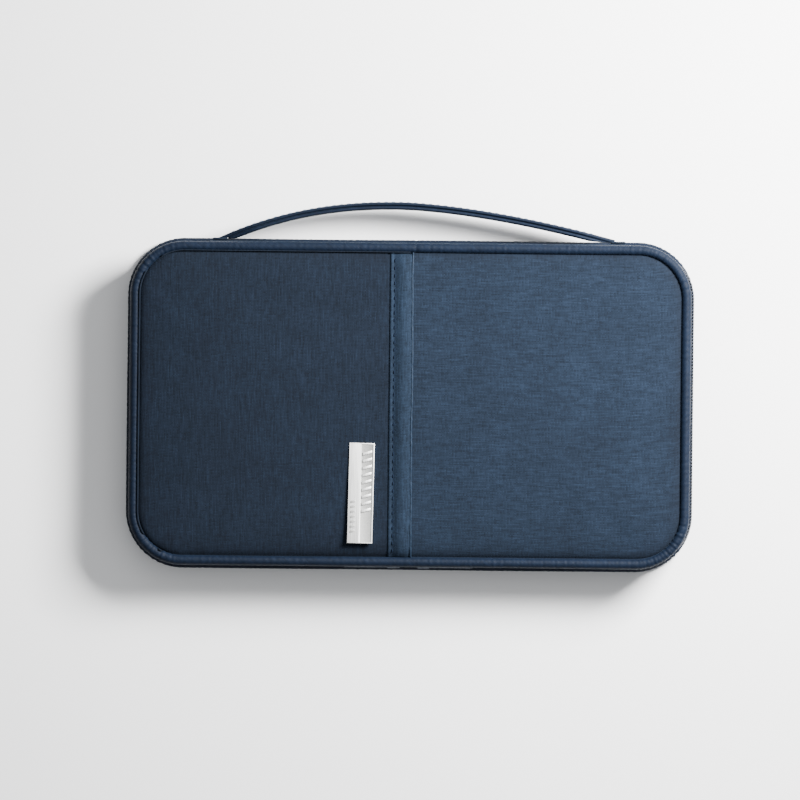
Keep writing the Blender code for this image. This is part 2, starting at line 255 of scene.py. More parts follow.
def soft_sheet(name, low, high, radii, step, height, thick, rims=(False,) * 4):
    """A cloth sheet on a grid. radii round its corners: low-low, high-low, high-high, low-high."""
    xs = spread(low[0], high[0], step, rims[0], rims[1])
    ys = spread(low[1], high[1], step, rims[2], rims[3])
    corners = list(zip((-1, 1, 1, -1), (-1, -1, 1, 1), radii))
    places = []
    for y_row in ys:
        for x_row in xs:
            x, y = x_row, y_row
            for way_x, way_y, radius in corners:
                edge_x = high[0] if way_x > 0 else low[0]
                edge_y = high[1] if way_y > 0 else low[1]
                a = way_x * (x - edge_x) / radius + 1 if radius else 0
                b = way_y * (y - edge_y) / radius + 1 if radius else 0
                if a > 0 and b > 0:
                    a, b = a * math.sqrt(1 - b * b / 2), b * math.sqrt(1 - a * a / 2)
                    x = edge_x + way_x * (a - 1) * radius
                    y = edge_y + way_y * (b - 1) * radius
            places.append((x, y, height(x, y)))
    wide = len(xs)
    faces = []
    for row in range(len(ys) - 1):
        for column in range(wide - 1):
            here = row * wide + column
            faces.append((here, here + 1, here + wide + 1, here + wide))
    obj = mesh_object(name, places, faces)
    if thick:
        solid = obj.modifiers.new("cloth thickness", "SOLIDIFY")
        solid.thickness = thick
        solid.offset = -1
        apply_modifiers(obj)
    return obj


def edge_distance(x, y, half_x, half_y, radius):
    """How far a point is inside a rounded rectangle about the origin."""
    dx, dy = abs(x) - (half_x - radius), abs(y) - (half_y - radius)
    if dx > 0 and dy > 0:
        return radius - math.hypot(dx, dy)
    return min(radius - dx, radius - dy)


def puff(obj, way, cap):
    """Blow a sheet that is sewn down at its rim up as cloth; its furthest point then moves by cap."""
    start = np.array([v.co for v in obj.data.vertices])
    pins = obj.vertex_groups.new(name="sewn")
    edges = {}
    for polygon in obj.data.polygons:
        for key in polygon.edge_keys:
            edges[key] = edges.get(key, 0) + 1
    rim = sorted({index for key, uses in edges.items() if uses == 1 for index in key})
    pins.add(rim, 1.0, "REPLACE")
    cloth = obj.modifiers.new("cloth", "CLOTH")
    cloth.settings.quality = 6
    cloth.settings.mass = 0.2
    cloth.settings.tension_stiffness = 12
    cloth.settings.compression_stiffness = 12
    cloth.settings.bending_stiffness = 1.5
    cloth.settings.use_pressure = True
    cloth.settings.uniform_pressure_force = 4 * way
    cloth.settings.vertex_group_mass = "sewn"
    cloth.settings.effector_weights.gravity = 0
    scene = bpy.context.scene
    for number in range(1, 21):
        scene.frame_set(number)
    graph = bpy.context.evaluated_depsgraph_get()
    moved = np.array([v.co for v in obj.evaluated_get(graph).data.vertices]) - start
    moved *= cap / np.linalg.norm(moved, axis=1).max()
    obj.modifiers.remove(cloth)
    obj.vertex_groups.remove(pins)
    obj.data.vertices.foreach_set("co", (start + moved).astype(np.float32).ravel())
    obj.data.update()
    scene.frame_set(1)


def paint_seam_shade(obj, half_x, half_y, radius, shift):
    """Mark how deep each point lies in the seam at the rim, for painted shade that darkens the cloth
    there.

    The painted shade is strongest at the +X end.
    """
    depth = 2.6 * MM
    shade_marks = obj.data.attributes.new("seam", "FLOAT", "POINT")
    for vertex, mark in zip(obj.data.vertices, shade_marks.data):
        inside = edge_distance(vertex.co.x - shift[0], vertex.co.y - shift[1], half_x, half_y, radius)
        side = 0.70 + 0.30 * max(-1.0, min(1.0, (vertex.co.x - shift[0]) / half_x))
        mark.value = side * math.exp(-max(0.0, inside) / depth)


def subdivided(obj):
    """Round a sheet off with one subdivision."""
    modifier = obj.modifiers.new("fine", "SUBSURF")
    modifier.levels = 1
    modifier.render_levels = 1
    apply_modifiers(obj)


def surface_under(obj):
    """A function that gives the height of an object's top at (x, y)."""
    graph = bpy.context.evaluated_depsgraph_get()
    tree = BVHTree.FromObject(obj, graph)
    high = max(v.co.z for v in obj.data.vertices)

    def height(x, y):
        hit = tree.ray_cast(Vector((x, y, high + 0.01)), Vector((0, 0, -1)))[0]
        return hit.z if hit else high - 1.5 * MM

    return height


# ---------------------------------------------------------------- materials
def connect(made, inputs):
    """Fill a node's inputs with values, sockets, or nodes whose first live output is linked."""
    for key, value in inputs.items():
        named = [socket for socket in made.inputs if socket.name == key and socket.enabled]
        socket = made.inputs[key] if isinstance(key, int) else named[0]
        if isinstance(value, bpy.types.Node):
            value = next(output for output in value.outputs if output.enabled)
        if isinstance(value, bpy.types.NodeSocket):
            made.id_data.links.new(value, socket)
        else:
            socket.default_value = value


def node(tree, kind, inputs, stops=(), **settings):
    """Add a node with its settings and its inputs; stops are those of a colour ramp."""
    made = tree.nodes.new(kind)
    for key, value in settings.items():
        setattr(made, key, value)
    connect(made, inputs)
    for number, (place, color) in enumerate(stops):
        ramp = made.color_ramp.elements
        element = ramp[number] if number < 2 else ramp.new(place)
        element.position = place
        element.color = color
    return made


def new_material(name, roughness, **sockets):
    """A material with its fixed values set on the shader itself."""
    material = bpy.data.materials.new(name)
    material.use_nodes = True
    tree = material.node_tree
    shader = tree.nodes["Principled BSDF"]
    connect(shader, {"Roughness": roughness})
    connect(shader, {key.replace("_", " "): value for key, value in sockets.items()})
    return material, tree, shader


def shades(code, spread):
    """A darker and a lighter linear colour about a hex one."""
    base = linear(code)
    return [tuple(c * (1 + way * spread) for c in base[:3]) + (1,) for way in (-1, 1)]


def threads(tree, along, across, pitch, length, seed):
    """Each thread of a weave has its own paler and darker stretches."""
    row = node(tree, "ShaderNodeMath", {0: across, 1: 1 / pitch}, operation="MULTIPLY")
    row = node(tree, "ShaderNodeMath", {0: row}, operation="FLOOR")
    row = node(tree, "ShaderNodeMath", {0: row, 1: 3.7}, operation="MULTIPLY")
    run = node(tree, "ShaderNodeMath", {0: along, 1: 1 / length}, operation="MULTIPLY")
    place = node(tree, "ShaderNodeCombineXYZ", {"X": run, "Y": row, "Z": seed})
    return node(tree, "ShaderNodeTexNoise", {"Vector": place, "Scale": 1.0, "Detail": 2.0})


def weave(tree, source, turned, code, pitch, heather, slub_size):
    """Plain weave of two sets of threads, with long slubs in one: its colour and its height."""
    parts = node(tree, "ShaderNodeSeparateXYZ", {"Vector": source})
    wander = node(tree, "ShaderNodeTexNoise", {"Vector": source, "Scale": 1 / (14 * MM), "Detail": 1.0})
    wander = node(tree, "ShaderNodeMath", {0: wander, 1: 0.6 * MM}, operation="MULTIPLY")
    upright = node(tree, "ShaderNodeMath", {0: parts.outputs[1], 1: parts.outputs[2]}, operation="ADD")
    level = node(tree, "ShaderNodeMath", {0: parts.outputs[0], 1: wander}, operation="ADD")
    upright = node(tree, "ShaderNodeMath", {0: upright, 1: wander}, operation="ADD")
    along, across = (upright, level) if turned else (level, upright)
    weft = threads(tree, along, across, pitch, 4.5 * MM, 0.0)
    warp = threads(tree, across, along, pitch, 3.0 * MM, 9.0)
    slub = threads(tree, along, across, slub_size, 8.0 * MM, 21.0)
    crossing = []
    for way in (along, across):
        turn = node(tree, "ShaderNodeMath", {0: way, 1: math.pi / pitch}, operation="MULTIPLY")
        crossing.append(node(tree, "ShaderNodeMath", {0: turn}, operation="SINE"))
    checks = node(tree, "ShaderNodeMath", {0: crossing[0], 1: crossing[1]}, operation="MULTIPLY")
    over = node(tree, "ShaderNodeMapRange", {"Value": checks, "From Min": -0.6, "From Max": 0.6})
    dark, light = shades(code, heather)
    weft_color = node(tree, "ShaderNodeValToRGB", {"Fac": weft}, [(0.30, dark), (0.72, light)])
    dark, light = shades(code, heather)
    warp_color = node(tree, "ShaderNodeValToRGB", {"Fac": warp}, [(0.32, dark), (0.70, light)])
    cloth = node(
        tree, "ShaderNodeMix", {"Factor": over, "A": weft_color, "B": warp_color}, data_type="RGBA"
    )
    dark, light = shades("BCBCBC", heather * 0.6)
    slub_color = node(tree, "ShaderNodeValToRGB", {"Fac": slub}, [(0.30, dark), (0.72, light)])
    cloth = node(
        tree, "ShaderNodeMix", {"Factor": 1.0, "A": cloth, "B": slub_color},
        data_type="RGBA", blend_type="MULTIPLY",
    )
    cloud = node(tree, "ShaderNodeTexNoise", {"Vector": source, "Scale": 1 / (20 * MM), "Detail": 2.0})
    dark, light = shades("EAEAEA", 0.09)
    cloud_color = node(tree, "ShaderNodeValToRGB", {"Fac": cloud}, [(0.30, dark), (0.70, light)])
    cloth = node(
        tree, "ShaderNodeMix", {"Factor": 1.0, "A": cloth, "B": cloud_color},
        data_type="RGBA", blend_type="MULTIPLY",
    )
    lumps = node(tree, "ShaderNodeMath", {0: weft, 1: slub}, operation="ADD")
    humps = node(tree, "ShaderNodeMath", {0: checks}, operation="ABSOLUTE")
    height = node(tree, "ShaderNodeMath", {0: humps, 1: 0.8, 2: lumps}, operation="MULTIPLY_ADD")
    return cloth, height


def woven_polyester(name, code, turned):
    """Heathered polyester canvas, woven from uneven yarn: pale and dark slubs, a matt face, faint fuzz.

    The threads are drawn coarser than such cloth has them, so that the weave shows.
    """
    material, tree, shader = new_material(
        name, 0.85, Specular_IOR_Level=0.10, Sheen_Weight=0.03, Sheen_Roughness=0.5,
        Sheen_Tint=linear("A9C3E6"),
    )
    source = node(tree, "ShaderNodeTexCoord", {}).outputs["Object"]
    pitch, heather, slub_size = 0.58 * MM, 0.38, 0.42 * MM
    cloth, height = weave(tree, source, turned, code, pitch, heather, slub_size)
    # Painted shade: the cloth is darkened towards the seam at the rim, most at the +X end.
    seam = node(tree, "ShaderNodeAttribute", {}, attribute_name="seam").outputs["Fac"]
    painted_seam_shade = node(tree, "ShaderNodeMapRange", {"Value": seam, "To Max": 0.65})
    cloth = node(
        tree, "ShaderNodeMix", {"Factor": painted_seam_shade, "A": cloth, "B": linear("080B12")}, data_type="RGBA"
    )
    bump = node(tree, "ShaderNodeBump", {"Height": height, "Strength": 0.36, "Distance": 0.16 * MM})
    connect(shader, {"Base Color": cloth, "Normal": bump})
    return material


def bias_binding(name, code, shine):
    """The same polyester cut on the bias and pulled tight over a cord, so it has a little more shine."""
    material, tree, shader = new_material(
        name, 0.55, Specular_IOR_Level=shine, Sheen_Weight=0.03, Sheen_Roughness=0.4,
        Sheen_Tint=linear("A9C3E6"),
    )
    source = node(tree, "ShaderNodeUVMap", {}, uv_map="flow")
    biased = node(tree, "ShaderNodeMapping", {"Vector": source, "Rotation": (0, 0, math.radians(45))})
    pitch, heather, slub_size = 0.42 * MM, 0.25, 0.84 * MM
    cloth, height = weave(tree, biased, False, code, pitch, heather, slub_size)
    bump = node(tree, "ShaderNodeBump", {"Height": height, "Strength": 0.35, "Distance": 0.14 * MM})
    connect(shader, {"Base Color": cloth, "Normal": bump})
    return material


def zip_webbing(name, code):
    """Woven polyester zip tape: tight ribs along its length, darker and flatter than the cloth."""
    material, tree, shader = new_material(name, 0.8, Specular_IOR_Level=0.2)
    source = node(tree, "ShaderNodeUVMap", {}, uv_map="flow")
    parts = node(tree, "ShaderNodeSeparateXYZ", {"Vector": source})
    rib = 1.1 * MM
    turn = node(tree, "ShaderNodeMath", {0: parts.outputs[1], 1: math.tau / rib}, operation="MULTIPLY")
    ribs = node(tree, "ShaderNodeMath", {0: turn}, operation="SINE")
    pitch, heather, slub_size = 0.40 * MM, 0.20, 0.8 * MM
    cloth, height = weave(tree, source, False, code, pitch, heather, slub_size)
    ribbed = node(tree, "ShaderNodeMath", {0: ribs, 1: 0.5, 2: height}, operation="MULTIPLY_ADD")
    bump = node(tree, "ShaderNodeBump", {"Height": ribbed, "Strength": 0.5, "Distance": 0.14 * MM})
    connect(shader, {"Base Color": cloth, "Normal": bump})
    return material


def taffeta_lining(name, code):
    """Thin polyester taffeta, calendered: an even fine grid of threads with a faint shine."""
    material, tree, shader = new_material(name, 0.6, Specular_IOR_Level=0.3)
    source = node(tree, "ShaderNodeTexCoord", {}).outputs["Object"]
    pitch, heather, slub_size = 0.36 * MM, 0.16, 1.1 * MM
    cloth, height = weave(tree, source, False, code, pitch, heather, slub_size)
    bump = node(tree, "ShaderNodeBump", {"Height": height, "Strength": 0.25, "Distance": 0.10 * MM})
    connect(shader, {"Base Color": cloth, "Normal": bump})
    return material


def patchy(name, low_code, high_code, size, rough, stretch=(1, 1, 1), **sockets):
    """A surface that is clean but not even: its tint and polish drift over a few millimetres."""
    material, tree, shader = new_material(name, rough[0], **sockets)
    source = node(tree, "ShaderNodeTexCoord", {}).outputs["Object"]
    scaled = node(tree, "ShaderNodeMapping", {"Vector": source, "Scale": [s / size for s in stretch]})
    drift = node(tree, "ShaderNodeTexNoise", {"Vector": scaled, "Scale": 1.0, "Detail": 3.0})
    stops = [(0.32, linear(low_code)), (0.68, linear(high_code))]
    color = node(tree, "ShaderNodeValToRGB", {"Fac": drift}, stops)
    polish = node(
        tree, "ShaderNodeMapRange",
        {"Value": drift, "From Min": 0.3, "From Max": 0.7, "To Min": rough[0], "To Max": rough[1]},
    )
    bump = node(tree, "ShaderNodeBump", {"Height": drift, "Strength": 0.12, "Distance": 0.03 * MM})
    connect(shader, {"Base Color": color, "Roughness": polish, "Normal": bump})
    return material


# Heathered polyester, in the slub directions of the front, the pocket and the pocket's pressed hem. The
# pocket's navy is darker than the front's as painted shade, and the hem's is lighter than the pocket's as
# painted light.
field_cloth = woven_polyester("heathered polyester, slubs level", FIELD_NAVY, False)
pocket_cloth = woven_polyester("heathered polyester, slubs upright", POCKET_SHADED_NAVY, True)
hem_cloth = woven_polyester("heathered polyester, pressed hem", BAND_LIT_NAVY, True)
# The same cloth cut on the bias: paler on the fold as a painted highlight, darker on the piping as painted
# shade, and dark on the strap.
fold_cloth = bias_binding("hem fold, painted highlight", FOLD_HIGHLIGHT_NAVY, 0.12)
piping_cloth = bias_binding("bias binding", BINDING_SHADED_NAVY, 0.08)
strap_cloth = bias_binding("folded strap cloth", STRAP_NAVY, 0.07)
# Ribbed zip tape, and thin taffeta for the linings and the inner pockets.
tape_cloth = zip_webbing("zip tape", "141C28")
lining_cloth = taffeta_lining("taffeta lining", "343D49")
pocket_lining = taffeta_lining("pocket taffeta", "27344A")
# Moulded nylon monofilament, dyed through: smooth, with a soft plastic shine.
coil_nylon = patchy("nylon coil", "121822", "1A2230", 3 * MM, (0.42, 0.55), Specular_IOR_Level=0.3)
# Zinc alloy, nickel plated and brushed lengthways: bright, with fine long scratches.
badge_metal = patchy(
    "brushed nickel plate", "E4E4E2", "F6F6F4", 0.25 * MM, (0.46, 0.60), (1, 0.02, 1), Metallic=1.0
)
# The same plate, shot-blasted in its sunk column: greyer and matt. On the ornament's bars it is painted
# shade.
blasted_and_shaded_metal = patchy("blasted nickel plate", "9C9C9A", "B2B2B0", 0.30 * MM, (0.55, 0.70), Metallic=1.0)
# Zinc alloy with gunmetal plating: dark, smooth, rubbed a little paler in places.
slider_metal = patchy("gunmetal plating", "4B5058", "6A7078", 0.9 * MM, (0.28, 0.42), Metallic=1.0)
# Bonded polyester thread, twisted: a slight shine.
navy_thread = patchy("navy thread", "0A101B", "121B2A", 0.4 * MM, (0.75, 0.9), Specular_IOR_Level=0.05)
pale_thread = patchy("pale navy thread", "34465C", "4A5F79", 0.4 * MM, (0.55, 0.7), Specular_IOR_Level=0.2)


# ---------------------------------------------------------------- piping
def piping(name, inset, height, shift, body, cad_node, seed):
    """Filler cord wrapped in binding. The wrap gathers into fine ripples round the corners."""
    points, normals, distances, total = rail(inset + PIPING, 0.4 * MM, shift)
    random = np.random.default_rng(seed)
    straight = np.minimum(np.abs(normals[:, 0]), np.abs(normals[:, 1]))
    gather = np.clip(straight / 0.6, 0, 1)
    ripple = np.zeros(len(points))
    for _ in range(6):
        waves = round(total / random.uniform(1.5 * MM, 3.6 * MM))
        ripple += np.sin(math.tau * (distances / total * waves + random.random()))
    ripple *= (0.012 + 0.030 * gather) * MM
    slow = 0.05 * MM * np.sin(math.tau * distances / total * 7 + seed)
    join = np.where(normals[:, 1] > 0.99, np.exp(-(((points[:, 0] - 2.0 * MM) / (0.5 * MM)) ** 2)), 0)
    radius = PIPING + ripple + slow - 0.22 * MM * join
    sides = np.arange(20) * math.tau / 20
    out = np.cos(sides)[None] * radius[:, None]
    up = height + np.sin(sides)[None] * radius[:, None]
    profile = np.stack([out, up], axis=-1)
    obj = sweep(name, points, normals, distances, profile, total)
    return finish_piece(obj, piping_cloth, body, [cad_node], 180)


piping("back_piping_cord", 0, BACK_PIPING_Z, (0, 0), "back_shell", "back_piping", 2)
piping("front_piping_cord", FRONT_STEP, FRONT_PIPING_Z, FRONT_SHIFT, "front_cover", "front_piping", 5)


def welt(name, inset, height, way, shift, body):
    """The binding's seam allowance: a dark flange between the piping and the cloth of a leaf."""
    points, normals, distances, total = rail(inset, 1.5 * MM, shift)
    outer, inner, thick = 0.9 * MM, -2.6 * MM, 0.8 * MM
    under = height - thick * way
    profile = [(outer, height), (inner, height), (inner, under), (outer, under)]
    obj = sweep(name, points, normals, distances, profile, total)
    return finish_piece(obj, piping_cloth, body)


front_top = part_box("front_panel")[1][2]
welt("front_welt", FRONT_STEP + 2 * PIPING, front_top - 2.9 * MM, 1, FRONT_SHIFT, "front_cover")
welt("back_welt", 2 * PIPING, 1.0 * MM, -1, (0, 0), "back_shell")


# ---------------------------------------------------------------- padded leaves
def padded_leaf(name, step, shift, way, face_z, bottom_z, body, nodes, puff_cap):
    """Cloth over a foam board: rolled down steeply at the piping, and crowned towards the middle."""
    inset = step + 2 * PIPING - 0.25 * MM
    half_x, half_y, radius = HALF_X - inset, HALF_Y - inset, CORNER - inset
    whole_fall, slope = (2.85 * MM, 0.45 * MM) if way > 0 else (1.6 * MM, 0.20 * MM)

    def height(x, y):
        x, y = x - shift[0], y - shift[1]
        inside = max(0.0, edge_distance(x, y, half_x, half_y, radius))
        sag = max(0.0, way) * 1.4 * MM * math.exp(-(y + half_y) / (4.5 * MM))
        valley = max(0.0, way) * 0.9 * MM * math.exp(-inside / (2.4 * MM))
        gentle = slope * math.exp(-inside / (8 * MM)) + sag + valley
        steep = (whole_fall - slope - 1.7 * MM * max(0, way)) * math.exp(-inside / (0.7 * MM))
        return face_z - way * min(whole_fall, gentle + steep)

    low = (shift[0] - half_x, shift[1] - half_y)
    high = (shift[0] + half_x, shift[1] + half_y)
    obj = soft_sheet(name, low, high, (radius,) * 4, 2.2 * MM, height, 0, (True,) * 4)
    start = np.array([v.co for v in obj.data.vertices])
    puff(obj, way, puff_cap)
    now = np.array([v.co for v in obj.data.vertices])
    inside = np.array(
        [edge_distance(x - shift[0], y - shift[1], half_x, half_y, radius) for x, y, _ in start]
    )
    now = start + (now - start) * (1 - np.exp(-np.maximum(inside, 0) / (5 * MM)))[:, None]
    if way < 0:
        now[:, 2] = np.maximum(now[:, 2], 0)
    obj.data.vertices.foreach_set("co", now.astype(np.float32).ravel())
    solid = obj.modifiers.new("down to the board", "SOLIDIFY")
    solid.thickness = 0.6 * MM
    solid.offset = -way
    apply_modifiers(obj)
    for vertex in obj.data.vertices[len(now):]:
        vertex.co.z = bottom_z
    subdivided(face_outwards(obj))
    # Painted shade in the seam at the rim.
    paint_seam_shade(obj, half_x, half_y, radius, shift)
    finish_piece(obj, field_cloth, body, nodes, 60)
    return obj


front_field = padded_leaf(
    "front_field", FRONT_STEP, FRONT_SHIFT, 1, front_top - 0.2 * MM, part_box("front_board")[0][2],
    "front_cover", ["front_panel", "front_board"], 1.3 * MM,
)
padded_leaf(
    "back_field", 0, (0, 0), -1, 0.0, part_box("back_board")[1][2],
    "back_shell", ["back_panel", "back_board"], 0.25 * MM,
)
field_height = surface_under(front_field)


# ---------------------------------------------------------------- slip pocket, band and badge
BAND_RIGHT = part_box("slip_pocket_band")[1][0]
BAND_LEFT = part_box("slip_pocket_band")[0][0]
POCKET_INSET = FRONT_STEP + 2 * PIPING - 0.15 * MM
POCKET_HALF = (HALF_X - POCKET_INSET, HALF_Y - POCKET_INSET)
POCKET_CORNER = CORNER - POCKET_INSET


def pocket_height(x, y):
    """The pocket follows the padding, loosening by a fraction of a millimetre at its mouth."""
    inside = edge_distance(x - FRONT_SHIFT[0], y - FRONT_SHIFT[1], *POCKET_HALF, POCKET_CORNER)
    rim = min(1.0, max(0.0, inside) / (5 * MM))
    mouth = math.exp((x - BAND_LEFT) / (20 * MM))
    loose = 0.30 * MM * min(1.0, mouth) * rim
    return field_height(x, y) + 0.42 * MM + loose


pocket_low = (-HALF_X + POCKET_INSET + FRONT_SHIFT[0], -HALF_Y + POCKET_INSET + FRONT_SHIFT[1])
pocket_high = (BAND_RIGHT - 1.2 * MM, HALF_Y - POCKET_INSET + FRONT_SHIFT[1])
slip_pocket = soft_sheet(
    "slip_pocket", pocket_low, pocket_high, (POCKET_CORNER, 0, 0, POCKET_CORNER), 1.5 * MM,
    pocket_height, 0.35 * MM, (True, False, True, True),
)
# Painted shade in the seam at the rim.
paint_seam_shade(slip_pocket, *POCKET_HALF, POCKET_CORNER, FRONT_SHIFT)
finish_piece(slip_pocket, pocket_cloth, "front_cover", ["slip_pocket_panel"], 60)


def mouth_band():
    """The folded hem of the pocket: a seam ridge, a flat stitched strip and a full rounded fold."""
    wide = BAND_RIGHT - BAND_LEFT
    ys = np.linspace(pocket_low[1], pocket_high[1], 200)
    shape = (
        (-0.02, -0.10), (0.00, 0.45), (0.03, 0.78), (0.07, 0.86), (0.11, 0.74), (0.17, 0.55),
        (0.23, 0.70), (0.32, 1.08), (0.43, 1.45), (0.54, 1.64), (0.66, 1.62), (0.79, 1.42),
        (0.90, 1.12), (0.96, 0.86), (1.00, 0.62), (1.01, 0.40), (0.99, 0.22), (0.93, 0.16), (0.5, -0.1),
    )
    points = np.stack([np.full(len(ys), BAND_LEFT), ys], axis=1)
    normals = np.tile((1.0, 0.0), (len(ys), 1))
    profile = np.empty((len(ys), len(shape), 2))
    for row, y in enumerate(ys):
        wander = 0.10 * MM * math.sin(y * 95) + 0.05 * MM * math.sin(y * 310 + 1)
        pucker = 0.05 * MM * math.sin(math.tau * y / STITCH)
        from_end = min(y - ys[0], ys[-1] - y)
        end = 1 - 0.45 * math.exp(-from_end / (2.5 * MM))
        for column, (share, up) in enumerate(shape):
            base = field_height(BAND_LEFT + min(max(share, 0), 1) * wide, y) + 0.45 * MM
            lift = up * MM * end + pucker * (0.02 < share < 0.3)
            profile[row, column] = (share * wide + wander * (share > 0.8), base + lift)
    obj = sweep("slip_pocket_hem", points, normals, ys - ys[0], profile)
    finish_piece(obj, hem_cloth, "front_cover", ["slip_pocket_band"], 75)
    # The fold's roll is in the paler cloth: a painted highlight along the fold.
    sides = np.arange(10) * math.tau / 10
    profile = np.empty((len(ys), len(sides), 2))
    for row, y in enumerate(ys):
        radius = (0.46 + 0.05 * math.sin(y * 700) + 0.04 * math.sin(y * 1900)) * MM
        wander = 0.10 * MM * math.sin(y * 95) + 0.05 * MM * math.sin(y * 310 + 1)
        profile[row, :, 0] = wide - 0.15 * MM + wander + radius * np.cos(sides)
        profile[row, :, 1] = field_height(BAND_RIGHT, y) + 1.02 * MM + radius * 1.2 * np.sin(sides)
    fold = sweep("slip_pocket_fold", points, normals, ys - ys[0], profile)
    finish_piece(fold, fold_cloth, "front_cover", angle=180)


mouth_band()


def stitch_mesh(length, thick):
    """One stitch: a short thread that dips into the cloth at both ends."""
    deselect()
    bpy.ops.mesh.primitive_uv_sphere_add(segments=8, ring_count=6, radius=1)
    obj = bpy.context.object
    for vertex in obj.data.vertices:
        x, y, z = vertex.co
        vertex.co = (z * length / 2, x * thick / 2, y * thick / 2 - thick * 0.5 * z * z)
    points = np.array([v.co for v in obj.data.vertices])
    faces = [tuple(p.vertices) for p in obj.data.polygons]
    bpy.data.objects.remove(obj, do_unlink=True)
    return points, faces


def stitches(name, places, thread, body, length=2.1 * MM, thick=0.45 * MM):
    """Copies of one stitch, each at a point, along one direction, on a face that looks up another."""
    points, faces = stitch_mesh(length, thick)
    everything, all_faces = [], []
    for number, (point, along, up) in enumerate(places):
        along = np.asarray(along, float) / np.linalg.norm(along)
        up = np.asarray(up, float) / np.linalg.norm(up)
        turn = np.column_stack([along, np.cross(up, along), up])
        everything.append(points @ turn.T + point)
        all_faces += [tuple(index + number * len(points) for index in face) for face in faces]
    obj = mesh_object(name, np.concatenate(everything), all_faces)
    return finish_piece(obj, thread, body, angle=180)


stitch_x = BAND_LEFT + 1.95 * MM
rows = np.arange(pocket_low[1] + 3 * MM, pocket_high[1] - 2 * MM, STITCH)
stitches(
    "hem_stitches",
    [((stitch_x, y, field_height(stitch_x, y) + 1.16 * MM), (0.16, 1, 0), (0, 0, 1)) for y in rows],
    navy_thread,
    "front_cover",
    thick=0.62 * MM,
)


def select_faces(obj, wanted):
    """Go to edit mode with just the faces selected whose centre and normal pass a test."""
    activate(obj)
    bpy.ops.object.mode_set(mode="EDIT")
    bpy.ops.mesh.select_mode(type="FACE")
    bpy.ops.mesh.select_all(action="DESELECT")
    bpy.ops.object.mode_set(mode="OBJECT")
    for face in obj.data.polygons:
        face.select = wanted(face.center, face.normal)
    bpy.ops.object.mode_set(mode="EDIT")


def block(low, high):
    """A box between two corners, with its place in its mesh."""
    deselect()
    bpy.ops.mesh.primitive_cube_add(size=1, location=[(a + b) / 2 for a, b in zip(low, high)])
    obj = bpy.context.object
    obj.scale = [b - a for a, b in zip(low, high)]
    settle(obj)
    return obj


def bevelled(obj, width, segments=3):
    """Round an object's sharp edges."""
    modifier = obj.modifiers.new("soft edge", "BEVEL")
    modifier.width = width
    modifier.segments = segments
    modifier.limit_method = "ANGLE"
    apply_modifiers(obj)
    return obj


def joined(name, parts):
    """Make several objects one."""
    deselect()
    for part in parts:
        part.select_set(True)
    bpy.context.view_layer.objects.active = parts[0]
    bpy.ops.object.join()
    obj = bpy.context.object
    obj.name = name
    obj.data.name = name
    return obj


def badge():
    """A thin plate with a sunk column on its right, and a plain raised ornament of slanted bars."""
    low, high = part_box("badge")
    center = ((low[0] + high[0]) / 2, (low[1] + high[1]) / 2)
    base = field_height(*center) + 0.72 * MM
    wide, tall, thick = 10.2 * MM, 40.6 * MM, 1.0 * MM
    plate = block((-wide / 2, -tall / 2, 0), (wide / 2, tall / 2, thick))
    select_faces(plate, lambda center, normal: normal.z > 0.9)
    bpy.ops.mesh.bisect(plane_co=(-0.7 * MM, 0, 0), plane_no=(1, 0, 0))
    select_faces(plate, lambda center, normal: normal.z > 0.9 and center.x > 0)
    bpy.ops.mesh.inset(thickness=0.55 * MM)
    bpy.ops.mesh.inset(thickness=0.10 * MM, depth=-0.26 * MM)
    bpy.ops.object.mode_set(mode="OBJECT")
    bevelled(plate, 0.16 * MM)
    parts = [plate]
    top = thick - 0.26 * MM
    for number in range(9):
        y = 16.3 * MM - number * 2.9 * MM
        bar = block((0.3 * MM, y - 0.6 * MM, top - 0.1 * MM), (4.1 * MM, y + 0.6 * MM, top + 0.42 * MM))
        for vertex in bar.data.vertices:
            vertex.co.y += 0.28 * (vertex.co.x - 2.2 * MM)
        parts.append(bevelled(bar, 0.22 * MM, 2))
    for number in range(7):
        y = -3.5 * MM - number * 2.0 * MM
        bar_low = (-4.2 * MM, y - 0.50 * MM, thick - 0.1 * MM)
        bar = block(bar_low, (-2.1 * MM, y + 0.50 * MM, thick + 0.10 * MM))
        for vertex in bar.data.vertices:
            vertex.co.y += 0.28 * (vertex.co.x + 3.2 * MM)
        parts.append(bevelled(bar, 0.08 * MM, 2))
    obj = joined("badge_plate", parts)
    obj.location = (*center, base)
    obj.rotation_euler = (0, 0, math.radians(-0.9))
    settle(obj)
    finish_piece(obj, badge_metal, "front_cover", ["badge"], 30)
    obj.data.materials.append(blasted_and_shaded_metal)
    for face in obj.data.polygons:
        sunk = abs(face.center.z - base - top) < 0.05 * MM
        # Painted shade: the tops of the ornament's bars on the left and the sides of those in the column
        # take the greyer plate.
        mark = face.center.z > base + thick + 0.02 * MM and face.center.x < center[0] - 1.5 * MM
        shaded_bar_side = abs(face.normal.z) < 0.9 and face.center.z > base + top + 0.02 * MM
        if sunk or mark or (shaded_bar_side and face.center.x > center[0]):
            face.material_index = 1


badge()


# ---------------------------------------------------------------- zip: tapes and coil
def belly(points, normals):
    """How far the zip bows out of its wall between the leaves: most at the two short ends."""
    right = np.clip(normals[:, 0], 0, 1) ** 1.5
    left = np.clip(-normals[:, 0], 0, 1) ** 1.5
    numbers = np.arange(len(points))
    fade = np.clip(np.minimum(numbers, numbers[::-1]) / (0.05 * len(points)), 0, 1)
    return (3.1 * MM * right + 2.2 * MM * left) * fade


